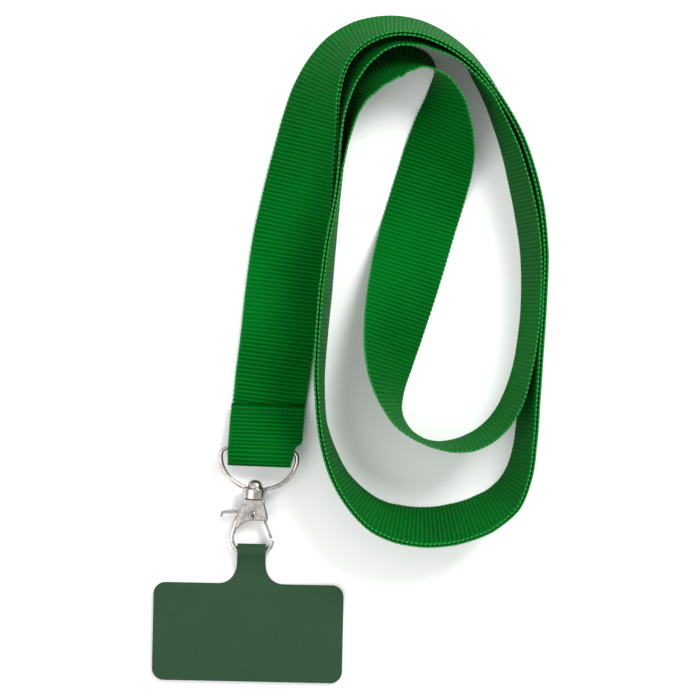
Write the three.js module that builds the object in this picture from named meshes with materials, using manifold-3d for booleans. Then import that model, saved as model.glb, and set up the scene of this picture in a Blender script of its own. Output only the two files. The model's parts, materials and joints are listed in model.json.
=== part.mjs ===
// Lanyard with a swivel clasp and a tether patch, laid flat. Units are millimetres, +Z is up, the table is z = 0.
import * as THREE from "three";
import Module from "manifold-3d";

const wasm = await Module();
wasm.setup();

// ---------- driving dimensions ----------
// Ribbon
const RIBBON_WIDTH = 25;
const RIBBON_THICKNESS = 0.8;
const LAYER_PITCH = 1.1; // centre to centre of two strands lying face to face
const TABLE_GAP = 0.05;
const RIBBON_GAP = 0.25; // lower edges above the table
const RIBBON_STEP = 7; // widest spacing of the cross-sections
const RIBBON_TURN = 2.4; // most twist between two cross-sections, degrees
const RIBBON_BEND = 8; // most bend between two cross-sections, degrees

// Seam across the flap
const THREAD = 0.45;
const STITCH_PITCH = 1.3;
const STITCH_ROW_HEIGHT = 1.5;

// Hardware line: origin on the D's bar, running down towards the hook
const BAR_X = -30.9;
const BAR_Y = -33.9;
const EYE_CLEARANCE = 0.6; // round the hook's wire
const HOOK_WIRE = 1.8;
const EYE_RADIUS = HOOK_WIRE / 2 + EYE_CLEARANCE;
const BAR_RISE = 4.8; // above the lying patch's eye
const BAR_Z = BAR_RISE + EYE_RADIUS;
const HARDWARE_LEAN = 3.4; // degrees, hook end to the left
const HARDWARE_TILT = 6.44; // degrees, hook end down
const D_SPARE = 2.8; // the D is this much wider than the ribbon
const D_OUTER_WIDTH = RIBBON_WIDTH + D_SPARE;
const D_WIRE = 1.6;
const D_DEPTH = 14.0; // bar centre to arc centre
const D_CORNER = 2.5;
const FOLD_SPARE = 2; // left free between the D's sides, both sides together
const NIP_SPARE = 0.9; // more than that where the D's sides draw in
const FLAP_WIDTH = RIBBON_WIDTH - 0.6; // the folded end, where it is sewn
const FOLD_WIDTH = D_OUTER_WIDTH - 2 * D_WIRE - FOLD_SPARE; // squeezed between the sides of the D
const BOSS_DIAMETER = 8.4;
const BOSS_LENGTH = 3.4;
const BOSS_BORE = 3.4;
const RIVET_SHANK = 2.8;
const RIVET_HEAD = 5.3;
const RIVET_HEAD_HEIGHT = 3.5;
const SWIVEL_OFFSET = -0.7; // swivel line, left of the D's middle

// Claw
const CLAW_TOP = 16.95; // below the bar
const CLAW_NECK_WIDTH = 6.9;
const CLAW_WAIST_WIDTH = 10.0;
const CLAW_THICKNESS = 4.6;
const CLAW_SLOT = 2.7;
const HOOK_BEND = 35.2; // centre of the bend, below the bar
const PIVOT_DEPTH = 22.5;
const PIVOT_TUBE = 2.0;
const PIVOT_WALL = 0.25;
const PIVOT_BORE = PIVOT_TUBE - 2 * PIVOT_WALL;
const FLANGE_LIP = 0.45;
const PIVOT_FLANGE = PIVOT_TUBE + 2 * FLANGE_LIP;
const PIN_CLEARANCE = 0.15; // round the tube
const HUB_WALL = 0.7; // of the gate, round its hole
const GATE_REACH = 8.6; // from the pivot to the middle of the hook's tip
const GATE_THICKNESS = 1.1;
const LEVER_REACH = 11.0;

// Patch
const PATCH_WIDTH = 65;
const PATCH_LENGTH = 33.5;
const PATCH_THICKNESS = 0.8;
const PATCH_CORNER = 4;
const PATCH_TOP = 11.1; // below the hook's bend
const PATCH_LEAN = 1.2; // degrees
const PATCH_OFFSET = -0.7;
const TAB_WIDTH = 10.2;
const TAB_FILLET = 6;
const TAIL_LENGTH = 22;

// Moves the layout so that the origin is under the middle of the whole object
const LAYOUT_SHIFT = [0.07, -0.27, 0.0];

// ---------- helpers ----------
const rad = (d) => (d * Math.PI) / 180;

// A three.js geometry as a manifold-3d solid, and back.
function solid(geometry) {
  const g = geometry.index ? geometry.toNonIndexed() : geometry;
  const p = g.attributes.position;
  const keys = new Map(),
    verts = [],
    tris = [];
  for (let i = 0; i < p.count; i++) {
    const k = [p.getX(i), p.getY(i), p.getZ(i)].map((v) => Math.round(v * 5e3)).join();
    if (!keys.has(k)) {
      keys.set(k, verts.length / 3);
      verts.push(p.getX(i), p.getY(i), p.getZ(i));
    }
    tris.push(keys.get(k));
  }
  const kept = [];
  for (let i = 0; i < tris.length; i += 3) {
    const [a, b, c] = [tris[i], tris[i + 1], tris[i + 2]];
    if (a !== b && b !== c && c !== a) kept.push(a, b, c);
  }
  const made = new wasm.Manifold(
    new wasm.Mesh({ numProp: 3, vertProperties: new Float32Array(verts), triVerts: new Uint32Array(kept) }),
  );
  return made;
}

function geometryOf(manifold) {
  const m = manifold.getMesh();
  const positions = new Float32Array(m.numVert * 3);
  for (let i = 0; i < m.numVert; i++)
    positions.set(m.vertProperties.subarray(i * m.numProp, i * m.numProp + 3), i * 3);
  const g = new THREE.BufferGeometry()
    .setAttribute("position", new THREE.BufferAttribute(positions, 3))
    .setIndex(new THREE.BufferAttribute(m.triVerts.slice(), 1));
  g.computeVertexNormals();
  return g;
}

function extrudePlan(points, depth, bevel = 0) {
  const shape = new THREE.Shape(points.map(([x, y]) => new THREE.Vector2(x, y)));
  const g = new THREE.ExtrudeGeometry(shape, {
    depth: depth - 2 * bevel,
    bevelEnabled: bevel > 0,
    bevelThickness: bevel,
    bevelSize: bevel,
    bevelOffset: -bevel,
    bevelSegments: 1,
    steps: 1,
  });
  return g.translate(0, 0, -depth / 2 + bevel);
}

const box = (w, h, d, x = 0, y = 0, z = 0) => new THREE.BoxGeometry(w, h, d).translate(x, y, z);
const rodZ = (r, length, x, y, z = 0, n = 24) =>
  new THREE.CylinderGeometry(r, r, length, n).rotateX(Math.PI / 2).translate(x, y, z);
const rodY = (r, length, x, y, z = 0, n = 32) =>
  new THREE.CylinderGeometry(r, r, length, n).translate(x, y, z);

// A round bar swept along points, with its own radius at each point.
function sweepRound(points, radii, segments, sides) {
  const curve = new THREE.CatmullRomCurve3(points.map((p) => new THREE.Vector3(...p)), false, "centripetal");
  const verts = [],
    index = [];
  const frames = curve.computeFrenetFrames(segments, false);
  for (let i = 0; i <= segments; i++) {
    const u = i / segments,
      c = curve.getPointAt(u);
    const f = curve.getUtoTmapping(u) * (points.length - 1);
    const k = Math.min(points.length - 2, Math.floor(f));
    const r = radii[k] + (radii[k + 1] - radii[k]) * (f - k);
    for (let j = 0; j < sides; j++) {
      const a = (2 * Math.PI * j) / sides;
      const v = c
        .clone()
        .addScaledVector(frames.normals[i], r * Math.cos(a))
        .addScaledVector(frames.binormals[i], r * Math.sin(a));
      verts.push(v.x, v.y, v.z);
    }
  }
  for (let i = 0; i < segments; i++)
    for (let j = 0; j < sides; j++) {
      const a = i * sides + j,
        b = i * sides + ((j + 1) % sides);
      index.push(a, b, a + sides, b, b + sides, a + sides);
    }
  const ends = [curve.getPointAt(0), curve.getPointAt(1)];
  ends.forEach((c) => verts.push(c.x, c.y, c.z));
  const first = (segments + 1) * sides;
  for (let j = 0; j < sides; j++) {
    const k = (j + 1) % sides;
    index.push(first, k, j);
    index.push(first + 1, segments * sides + j, segments * sides + k);
  }
  return new THREE.BufferGeometry()
    .setAttribute("position", new THREE.Float32BufferAttribute(verts, 3))
    .setIndex(index);
}

const material = (color, roughness, metalness) => new THREE.MeshStandardMaterial({ color, roughness, metalness });
const RIBBON_GREEN = material(0x0b7a25, 0.85, 0);
const THREAD_GREEN = material(0x1f8a3a, 0.8, 0);
const SATIN_METAL = material(0xc9c5c0, 0.28, 1);
const SPRING_STEEL = material(0x8d8f92, 0.35, 1);
const PATCH_GREEN = material(0x5f7a66, 0.75, 0);

// ---------- neck ribbon ----------
// One strip. A station is [x, y, lean]: lean is the turn of the strip about its own run, in degrees:
// 0 lies face up, 90 stands on its lower edge, 180 lies face down.
// The outer lap starts under the flap, runs up the left, over the top, down the right and round the bottom.
const OUTER_LAP = [
  [-27.6, -18.5, 0],
  [-26.4, -8.5, 0],
  [-24.8, 4.0, 0],
  [-23.2, 19.0, 0],
  [-21.0, 35.5, 6],
  [-18.3, 50.5, 19],
  [-16.1, 64.0, 32],
  [-13.9, 76.5, 41],
  [-11.6, 88.0, 52],
  [-8.0, 97.0, 60],
  [-3.6, 103.2, 65],
  [3.4, 108.2, 70],
  [13.5, 110.9, 75],
  [23.0, 110.2, 78],
  [32.6, 106.2, 81],
  [41.0, 100.0, 84],
  [47.4, 92.6, 87],
  [53.2, 83.2, 90],
  [58.1, 72.8, 93],
  [61.4, 60.8, 97],
  [63.4, 48.4, 101],
  [64.2, 32.5, 104],
  [63.6, 15.5, 104],
  [62.7, -0.8, 103],
  [61.6, -17.0, 103],
  [60.2, -32.5, 104],
  [58.0, -42.5, 108],
  [53.6, -50.6, 115],
  [45.6, -56.4, 119],
  [35.2, -59.9, 120],
  [25.6, -60.9, 119],
  [16.0, -59.7, 117],
  [9.0, -57.1, 113],
  [2.4, -51.8, 107],
  [-3.9, -43.6, 101],
  [-8.1, -33.4, 97],
  [-10.1, -25.0, 94],
  [-10.8, -16.5, 94],
  [-11.0, -8.0, 95],
  [-10.3, 4.0, 96],
  [-8.9, 20.0, 97],
  [-7.1, 36.5, 95],
  [-4.9, 52.0, 91],
];
// The middle lap follows on: over the top inside the outer lap, down the right, round the inner loop,
// then flat up the middle, where it turns over to the left.
const MIDDLE_LAP = [
  [-4.0, 61.0, 90],
  [-3.3, 70.5, 90],
  [-2.8, 78.5, 87],
  [-2.1, 86.0, 80],
  [0.4, 94.4, 74],
  [6.0, 102.2, 71],
  [13.6, 106.8, 71],
  [22.4, 107.0, 73],
  [29.3, 104.5, 77],
  [36.8, 100.0, 83],
  [42.2, 93.4, 92],
  [47.0, 86.4, 97],
  [51.2, 77.2, 100],
  [54.8, 67.6, 103],
  [57.6, 57.2, 105],
  [60.0, 46.0, 106],
  [61.7, 32.0, 105],
  [61.6, 15.0, 104],
  [60.5, 3.5, 104],
  [58.6, -7.0, 104],
  [55.4, -17.2, 106],
  [51.6, -23.8, 106],
  [46.4, -28.8, 105],
  [41.0, -31.6, 103],
  [35.4, -32.7, 99],
  [30.2, -32.5, 95],
  [25.4, -31.2, 93],
  [20.8, -28.6, 94],
  [17.0, -24.8, 98],
  [14.6, -20.2, 103],
  [13.2, -14.8, 112],
  [12.7, -8.8, 122],
  [13.2, -2.0, 133],
  [14.8, 7.5, 145],
  [17.2, 18.5, 157],
  [20.2, 30.5, 170],
  [23.4, 42.0, 180],
  [26.8, 53.0, 181],
  [29.6, 62.5, 190],
  [31.8, 71.5, 208],
  [32.9, 79.3, 226],
  [32.9, 86.0, 241],
  [31.4, 91.6, 256],
  [28.6, 95.6, 272],
  [24.2, 98.2, 287],
  [18.0, 98.6, 296],
  [10.4, 95.4, 296],
  [4.2, 89.2, 292],
  [0.7, 80.5, 280],
  [-1.4, 70.5, 274],
  [-2.6, 61.0, 270],
];
// The folded end: [x, y, z], from the inner strand under the flap, down, round the bar, and up as the flap.
const FOLDED_END = [
  [-27.8, -18.5, 0.62, FLAP_WIDTH],
  [-28.7, -24.0, 1.15, FLAP_WIDTH],
  [-29.8, -30.0, 2.15, (FLAP_WIDTH + FOLD_WIDTH) / 2],
  [-30.5, -35.5, 3.5, FOLD_WIDTH],
  [-30.85, -38.4, 4.55, FOLD_WIDTH - NIP_SPARE],
  [-31.0, -39.4, 5.9, FOLD_WIDTH - NIP_SPARE],
  [-30.9, -38.3, 7.35, FOLD_WIDTH - NIP_SPARE],
  [-30.5, -35.2, 8.05, FOLD_WIDTH],
  [-30.2, -33.1, 7.85, FOLD_WIDTH],
  [-28.95, -31.3, 7.3, RIBBON_WIDTH - 0.2],
  [-28.5, -26.0, 4.95, RIBBON_WIDTH],
  [-28.15, -22.0, 3.35, RIBBON_WIDTH],
  [-27.9, -18.6, 2.85, RIBBON_WIDTH],
];
const FOLD_LEAN = 2.3; // degrees, right end of the fold lower
const INNER_END = [-28.9, -26.5, 2.75]; // the strand that is sewn in between

// The strip's frame at a station: the run in plan, the width direction and the face normal.
function frameAt(run, lean) {
  const right = new THREE.Vector3(run.y, -run.x, 0);
  const across = right.multiplyScalar(Math.cos(rad(lean))).add(new THREE.Vector3(0, 0, Math.sin(rad(lean))));
  return { across, face: across.clone().cross(run) };
}

// Plan stations placed on the table: each strand stands on its lower edge, and the outer lap
// lies over the inner one wherever it faces up.
function placed(stations, over) {
  const plan = stations.map(([x, y]) => new THREE.Vector3(x, y, 0));
  return stations.map(([x, y, lean], i) => {
    const before = plan[Math.max(0, i - 1)],
      after = plan[Math.min(plan.length - 1, i + 1)];
    const a = plan[i].clone().sub(before),
      b = after.clone().sub(plan[i]);
    const run = i === 0 ? b : i === plan.length - 1 ? a : a.normalize().add(b.normalize());
    run.normalize();
    const { across, face } = frameAt(run, lean);
    const c = Math.cos(rad(lean));
    const z =
      (RIBBON_WIDTH / 2) * Math.abs(Math.sin(rad(lean))) +
      (RIBBON_THICKNESS / 2) * Math.abs(c) +
      RIBBON_GAP +
      (over ? LAYER_PITCH * Math.max(0, c) : 0);
    return { at: new THREE.Vector3(x, y, z), across, face, width: RIBBON_WIDTH };
  });
}

function ribbonStations() {
  const outer = placed(OUTER_LAP, true);
  const middle = placed(MIDDLE_LAP, false);
  // The inner lap lies against the outer one, face to face, and runs back along it.
  const inner = outer
    .map((s) => ({
      at: s.at.clone().addScaledVector(s.face, -LAYER_PITCH),
      across: s.across.clone().negate(),
      face: s.face,
      width: s.width,
    }))
    .reverse();
  inner.pop();
  const tuck = new THREE.Vector3(-Math.cos(rad(FOLD_LEAN)), Math.sin(rad(FOLD_LEAN)), 0);
  outer[0].width = FLAP_WIDTH;
  const start = { at: new THREE.Vector3(...INNER_END), across: new THREE.Vector3(1, 0, 0), width: FOLD_WIDTH };
  const fold = FOLDED_END.map(([x, y, z, width]) => ({ at: new THREE.Vector3(x, y, z), across: tuck, width, skew: 1 }));
  return [start, ...outer, ...middle, ...inner, ...fold];
}

const STATIONS = ribbonStations();
const CENTRELINE = new THREE.CatmullRomCurve3(STATIONS.map((s) => s.at), false, "centripetal");
CENTRELINE.arcLengthDivisions = 4000;
const RIBBON_LENGTH = CENTRELINE.getLength();

// The strip's cross-section frame at a share u of its length.
function ribbonFrame(u) {
  const at = CENTRELINE.getPointAt(u),
    run = CENTRELINE.getTangentAt(u);
  const f = CENTRELINE.getUtoTmapping(u) * (STATIONS.length - 1);
  const k = Math.min(STATIONS.length - 2, Math.floor(f));
  const across = STATIONS[k].across.clone().lerp(STATIONS[k + 1].across, f - k);
  const skew = THREE.MathUtils.lerp(STATIONS[k].skew ?? 0, STATIONS[k + 1].skew ?? 0, f - k);
  across.addScaledVector(run, (skew - 1) * across.dot(run)).normalize();
  const width = STATIONS[k].width + (STATIONS[k + 1].width - STATIONS[k].width) * (f - k);
  return { at, across, face: across.clone().cross(run).normalize(), width };
}

// Sections are closer together where the strip twists or bends.
function ribbonShares() {
  const shares = [0];
  let last = ribbonFrame(0),
    at = 0;
  for (let s = 0.5; s < RIBBON_LENGTH - 0.6; s += 0.5) {
    const here = ribbonFrame(s / RIBBON_LENGTH);
    const twist = here.across.angleTo(last.across),
      bend = here.face.angleTo(last.face);
    if (s - at < RIBBON_STEP && twist < rad(RIBBON_TURN) && bend < rad(RIBBON_BEND)) continue;
    shares.push(s / RIBBON_LENGTH);
    last = here;
    at = s;
  }
  shares.push(1);
  return shares;
}

// Corners of the cross-section, with one more point half way across each face.
const SECTION = [
  [-1, -1],
  [0, -1],
  [1, -1],
  [1, 1],
  [0, 1],
  [-1, 1],
];

function stripGeometry(shares) {
  const verts = [],
    index = [],
    n = SECTION.length;
  for (const u of shares) {
    const { at, across, face, width } = ribbonFrame(u);
    for (const [w, t] of SECTION) {
      const v = at
        .clone()
        .addScaledVector(across, (w * width) / 2)
        .addScaledVector(face, (t * RIBBON_THICKNESS) / 2);
      verts.push(v.x, v.y, v.z);
    }
  }
  for (let i = 0; i + 1 < shares.length; i++)
    for (let j = 0; j < n; j++) {
      const a = n * i + j,
        b = n * i + ((j + 1) % n);
      index.push(a, a + n, b, b, a + n, b + n);
    }
  const e = n * (shares.length - 1);
  for (const [a, b, c] of [
    [0, 1, 4],
    [0, 4, 5],
    [1, 2, 3],
    [1, 3, 4],
  ])
    index.push(a, b, c, e + a, e + c, e + b);
  return new THREE.BufferGeometry()
    .setAttribute("position", new THREE.Float32BufferAttribute(verts, 3))
    .setIndex(index);
}

// ---------- seam thread ----------
// A zigzag of thread lying on the flap, a little below the flap's cut end.
function seamGeometry() {
  const half = FLAP_WIDTH / 2 - 1.2;
  const count = Math.round((2 * half) / STITCH_PITCH);
  const last = ribbonFrame(1 - 2.2 / RIBBON_LENGTH);
  const lift = RIBBON_THICKNESS / 2 + THREAD / 2 + 0.16;
  const out = last.face.clone().multiplyScalar(Math.sign(last.face.z));
  const run = out.clone().cross(last.across).normalize();
  const points = [];
  for (let i = 0; i <= count; i++) {
    const p = last.at
      .clone()
      .addScaledVector(last.across, -half + (2 * half * i) / count)
      .addScaledVector(run, (i % 2 ? 0.5 : -0.5) * STITCH_ROW_HEIGHT)
      .addScaledVector(out, lift);
    points.push([p.x, p.y, p.z]);
  }
  const verts = [],
    index = [];
  const h = THREAD / 2;
  points.forEach(([x, y, z], i) => {
    const p = new THREE.Vector3(x, y, z);
    const side = run.clone().multiplyScalar(h);
    const up = out.clone().multiplyScalar(h);
    for (const [a, b] of [
      [-1, -1],
      [1, -1],
      [1, 1],
      [-1, 1],
    ]) {
      const v = p.clone().addScaledVector(side, a).addScaledVector(up, b);
      verts.push(v.x, v.y, v.z);
    }
  });
  for (let i = 0; i + 1 < points.length; i++)
    for (let j = 0; j < 4; j++) {
      const a = 4 * i + j,
        b = 4 * i + ((j + 1) % 4);
      index.push(a, b, a + 4, b, b + 4, a + 4);
    }
  const e = 4 * (points.length - 1);
  index.push(0, 2, 1, 0, 3, 2, e, e + 1, e + 2, e, e + 2, e + 3);
  return new THREE.BufferGeometry()
    .setAttribute("position", new THREE.Float32BufferAttribute(verts, 3))
    .setIndex(index);
}

// ---------- swivel eye ----------
function dRingGeometry() {
  const r = D_WIRE / 2,
    half = D_OUTER_WIDTH / 2 - r,
    curve = new THREE.CurvePath();
  const path = [];
  // bar, right corner, arc, left corner
  for (let i = 0; i <= 4; i++) {
    const a = (Math.PI / 2) * (1 - i / 4);
    path.push([half - D_CORNER + D_CORNER * Math.cos(a), -D_CORNER + D_CORNER * Math.sin(a)]);
  }
  const steps = 20,
    deep = D_DEPTH - D_CORNER;
  for (let i = 1; i < steps; i++) {
    const a = (Math.PI * i) / steps;
    path.push([half * Math.cos(a), -D_CORNER - deep * Math.sin(a)]);
  }
  for (let i = 0; i <= 4; i++) {
    const a = Math.PI - (Math.PI / 2) * (i / 4);
    path.push([-(half - D_CORNER) + D_CORNER * Math.cos(a), -D_CORNER + D_CORNER * Math.sin(a)]);
  }
  path.push([0, 0]);
  const ring = new THREE.CatmullRomCurve3(path.map(([x, y]) => new THREE.Vector3(x, y, 0)), true, "centripetal");
  const tube = solid(new THREE.TubeGeometry(ring, 60, r, 12, true));
  const middle = -(D_DEPTH - 0.7 + BOSS_LENGTH / 2);
  const boss = solid(rodY(BOSS_DIAMETER / 2, BOSS_LENGTH, SWIVEL_OFFSET, middle));
  const bore = solid(rodY(BOSS_BORE / 2, 12, SWIVEL_OFFSET, middle, 0, 28));
  const cup = solid(rodY(BOSS_DIAMETER / 2 - 1, 2, SWIVEL_OFFSET, middle + BOSS_LENGTH / 2 + 0.2));
  const clear = solid(rodY(BOSS_DIAMETER / 2 - 1, 3.2, SWIVEL_OFFSET, -(D_DEPTH - 0.7) + 1.6));
  return geometryOf(tube.subtract(clear).add(boss).subtract(bore).subtract(cup));
}

// Domed rivet whose shank runs through the boss into the claw.
function rivetGeometry() {
  const seat = -(D_DEPTH - 0.7 + 0.8) + 0.15;
  const profile = [
    [0, -19.0],
    [RIVET_SHANK / 2, -19.0],
    [RIVET_SHANK / 2, seat],
    [RIVET_HEAD / 2, seat],
    [RIVET_HEAD / 2, seat + 1.0],
  ];
  for (let i = 1; i <= 6; i++) {
    const a = (Math.PI / 2) * (i / 6);
    profile.push([
      Math.max(0, (RIVET_HEAD / 2) * Math.cos(a)),
      seat + 1.0 + (RIVET_HEAD_HEIGHT - 1.0) * Math.sin(a),
    ]);
  }
  profile[profile.length - 1][0] = 0;
  const g = new THREE.LatheGeometry(profile.map(([x, y]) => new THREE.Vector2(x, y)), 24);
  return geometryOf(solid(g)).translate(SWIVEL_OFFSET, 0, 0);
}

// ---------- claw ----------
const HOOK_PATH = [
  [-4.4, -21.2],
  [-5.3, -24.0],
  [-6.25, -27.0],
  [-6.9, -29.8],
  [-6.85, -32.0],
  [-6.2, -33.7],
  [-5.0, -34.85],
  [-3.6, -35.2],
  [0, -35.2],
  [3.6, -35.2],
  [4.9, -34.85],
  [6.1, -33.7],
  [6.7, -32.3],
  [6.75, -31.0],
];

function clawGeometry() {
  const n = CLAW_NECK_WIDTH / 2,
    w = CLAW_WAIST_WIDTH / 2;
  const outline = [
    [-n, -CLAW_TOP],
    [-n - 0.25, -CLAW_TOP - 1.6],
    [-w + 0.3, -22.0],
    [-w - 0.25, -24.2],
    [-w - 1.1, -26.6],
    [-w - 0.2, -27.6],
    [-w + 0.6, -26.4],
    [-3.2, -25.4],
    [-1.8, -24.7],
    [0.2, -24.3],
    [w - 1.0, -24.25],
    [w + 0.1, -24.1],
    [w - 0.25, -22.4],
    [n + 0.2, -CLAW_TOP - 1.6],
    [n, -CLAW_TOP],
  ].reverse();
  let body = solid(extrudePlan(outline, CLAW_THICKNESS, 0.45));
  const hook = sweepRound(
    HOOK_PATH.map(([x, y]) => [x, y, 0]),
    HOOK_PATH.map((p, i) => (i < 3 ? HOOK_WIRE / 2 + 0.15 : i > 11 ? HOOK_WIRE / 2 - 0.1 : HOOK_WIRE / 2)),
    44,
    12,
  );
  // The casting runs out into the hook: full depth at the cheeks, round wire by the bend.
  const depth = (CLAW_THICKNESS - 0.7) / (HOOK_WIRE + 0.3) - 1;
  const v = hook.attributes.position;
  for (let i = 0; i < v.count; i++) {
    const share = THREE.MathUtils.smoothstep(v.getY(i), -30.5, -23.5);
    v.setZ(i, v.getZ(i) * (1 + depth * share));
  }
  const arm = solid(hook);
  body = body.add(arm);
  // slot for the gate, open to the right and below, and a window for the lever on the left
  const slot = solid(box(9.6, 6.0, CLAW_SLOT, -3.1 + 4.8, -22.9));
  const window = solid(box(6, 3.6, CLAW_SLOT, -5.0, -21.55));
  const blind = solid(rodY(RIVET_SHANK / 2 + 0.15, 2.5, 0, -CLAW_TOP - 1.0, 0, 24));
  const pin = solid(rodZ(PIVOT_TUBE / 2 + PIN_CLEARANCE, 9, -0.3, -PIVOT_DEPTH));
  return geometryOf(body.subtract(slot).subtract(window).subtract(blind).subtract(pin)).translate(SWIVEL_OFFSET, 0, 0);
}

// Gate: a hub on the pivot, an arm down to the hook's tip and a thumb lever out to the left.
function gateGeometry() {
  const z = -CLAW_SLOT / 2 + 0.2 + GATE_THICKNESS / 2;
  const hub = solid(rodZ(PIVOT_TUBE / 2 + PIN_CLEARANCE + HUB_WALL, GATE_THICKNESS, 0, 0, z));
  const plate = (points, depth, at) => solid(extrudePlan(points, depth).translate(0, 0, at));
  const arm = plate(
    [
      [-0.4, 1.5],
      [1.9, 1.3],
      [4.55, -1.3],
      [7.2, HOOK_WIRE / 2 - GATE_REACH],
      [6.2, HOOK_WIRE / 2 - GATE_REACH - 0.25],
      [3.6, -1.9],
      [0.4, -1.5],
    ].reverse(),
    GATE_THICKNESS,
    z,
  );
  const tip = plate(
    [
      [5.05, -2.6],
      [7.2, HOOK_WIRE / 2 - GATE_REACH],
      [6.2, HOOK_WIRE / 2 - GATE_REACH - 0.25],
      [4.0, -2.8],
    ].reverse(),
    2.2,
    0,
  );
  const lever = plate(
    [
      [0, 1.5],
      [-6.2, 1.25],
      [-6.2, 0.15],
      [0, 0.2],
    ],
    GATE_THICKNESS,
    z,
  );
  const pad = plate(
    [
      [-5.75, 1.25],
      [-LEVER_REACH + 0.9, 1.0],
      [-LEVER_REACH, 0.45],
      [-LEVER_REACH - 0.15, -1.2],
      [-LEVER_REACH + 0.75, -1.2],
      [-LEVER_REACH + 0.95, -0.1],
      [-5.75, 0.15],
    ],
    3.4,
    0,
  );
  const hole = solid(rodZ(PIVOT_TUBE / 2 + PIN_CLEARANCE, 6, 0, 0));
  const made = hub.add(arm).add(tip).add(lever).add(pad).subtract(hole);
  return geometryOf(made).translate(SWIVEL_OFFSET - 0.3, -PIVOT_DEPTH, 0);
}

// Tubular rivet with a flange at each end.
function pivotGeometry() {
  const r = PIVOT_TUBE / 2,
    b = PIVOT_BORE / 2,
    f = PIVOT_FLANGE / 2,
    h = CLAW_THICKNESS / 2 + 0.12;
  const profile = [
    [b, -h - 0.4],
    [f - 0.3, -h - 0.4],
    [f, -h],
    [r, -h],
    [r, h],
    [f, h],
    [f - 0.3, h + 0.4],
    [b, h + 0.4],
    [b, -h - 0.4],
  ];
  const g = new THREE.LatheGeometry(profile.map(([x, y]) => new THREE.Vector2(x, y)), 24).rotateX(Math.PI / 2);
  return geometryOf(solid(g)).translate(SWIVEL_OFFSET - 0.3, -PIVOT_DEPTH, 0);
}

// Torsion spring beside the gate's hub, with one leg along the claw and one over the lever.
function springGeometry() {
  const r = 1.5,
    wire = 0.17,
    z0 = 0.45,
    points = [];
  points.push([r - 0.2, 2.3, z0]);
  for (let i = 0; i <= 24; i++) {
    const a = (i / 24) * 2 * Math.PI * 1.5;
    points.push([r * Math.cos(a), r * Math.sin(a), z0 + (0.55 * i) / 24]);
  }
  points.push([-2.4, -0.7, z0 + 0.55]);
  const g = sweepRound(points, points.map(() => wire), 60, 6);
  return geometryOf(solid(g)).translate(SWIVEL_OFFSET - 0.3, -PIVOT_DEPTH, 0);
}

// ---------- tether patch ----------
function patchGeometry(hingeZ) {
  const half = PATCH_WIDTH / 2,
    t = TAB_WIDTH / 2;
  const left = PATCH_OFFSET - half,
    right = PATCH_OFFSET + half,
    top = -PATCH_TOP,
    bottom = -PATCH_TOP - PATCH_LENGTH;
  const outline = new THREE.Shape();
  outline.moveTo(left + PATCH_CORNER, bottom);
  outline.lineTo(right - PATCH_CORNER, bottom);
  outline.absarc(right - PATCH_CORNER, bottom + PATCH_CORNER, PATCH_CORNER, -Math.PI / 2, 0, false);
  outline.lineTo(right, top - PATCH_CORNER);
  outline.absarc(right - PATCH_CORNER, top - PATCH_CORNER, PATCH_CORNER, 0, Math.PI / 2, false);
  outline.lineTo(t + TAB_FILLET, top);
  outline.absarc(t + TAB_FILLET, top + TAB_FILLET, TAB_FILLET, -Math.PI / 2, -Math.PI, true);
  outline.lineTo(t, -4.4);
  outline.lineTo(-t, -4.4);
  outline.lineTo(-t, top + TAB_FILLET);
  outline.absarc(-t - TAB_FILLET, top + TAB_FILLET, TAB_FILLET, 0, -Math.PI / 2, true);
  outline.lineTo(left + PATCH_CORNER, top);
  outline.absarc(left + PATCH_CORNER, top - PATCH_CORNER, PATCH_CORNER, Math.PI / 2, Math.PI, false);
  outline.lineTo(left, bottom + PATCH_CORNER);
  outline.absarc(left + PATCH_CORNER, bottom + PATCH_CORNER, PATCH_CORNER, Math.PI, 1.5 * Math.PI, false);
  const base = TABLE_GAP - hingeZ;
  const back = base + PATCH_THICKNESS; // top of the folded-back tail
  const sheet = solid(
    new THREE.ExtrudeGeometry(outline, { depth: PATCH_THICKNESS, bevelEnabled: false, curveSegments: 6 }).translate(0, 0, back - 0.05),
  );
  // The folded tab in side view: run along -Y, height along Z, with the hook's bend at the origin.
  const R = EYE_RADIUS + PATCH_THICKNESS;
  const face = back - 0.08 + PATCH_THICKNESS;
  const shape = new THREE.Shape();
  shape.moveTo(TAIL_LENGTH, base);
  shape.lineTo(TAIL_LENGTH, back);
  shape.lineTo(12, back + 0.2);
  shape.lineTo(12, face);
  shape.lineTo(8.2, face);
  shape.quadraticCurveTo(4.6, face + 0.3, 0.8, R);
  shape.absarc(-0.3, 0, R, Math.PI / 2, 1.5 * Math.PI, false);
  shape.lineTo(0.4, base);
  shape.lineTo(TAIL_LENGTH, base);
  const eye = new THREE.Path();
  eye.moveTo(6.6, back + 0.02);
  eye.lineTo(-0.3, -EYE_RADIUS);
  eye.absarc(-0.3, 0, EYE_RADIUS, 1.5 * Math.PI, Math.PI / 2, true);
  eye.lineTo(0.8, EYE_RADIUS);
  eye.quadraticCurveTo(4.4, face - 0.55, 6.6, back + 0.02);
  shape.holes.push(eye);
  const loop = new THREE.ExtrudeGeometry(shape, { depth: TAB_WIDTH - 0.12, bevelEnabled: false, curveSegments: 8 });
  // shape x runs down the patch (-Y), shape y is height (Z), extrusion runs across (X)
  loop.applyMatrix4(new THREE.Matrix4().set(0, 0, -1, t - 0.06, -1, 0, 0, 0, 0, 1, 0, 0, 0, 0, 0, 1));
  const narrow = solid(loop);
  return { sheet, narrow };
}

// ---------- assembly ----------
function mesh(name, geometry, mat) {
  const m = new THREE.Mesh(geometry, mat);
  m.name = name;
  return m;
}

const root = new THREE.Group();
root.name = "lanyard";
const layout = new THREE.Group();
layout.position.set(...LAYOUT_SHIFT);
root.add(layout);

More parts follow.
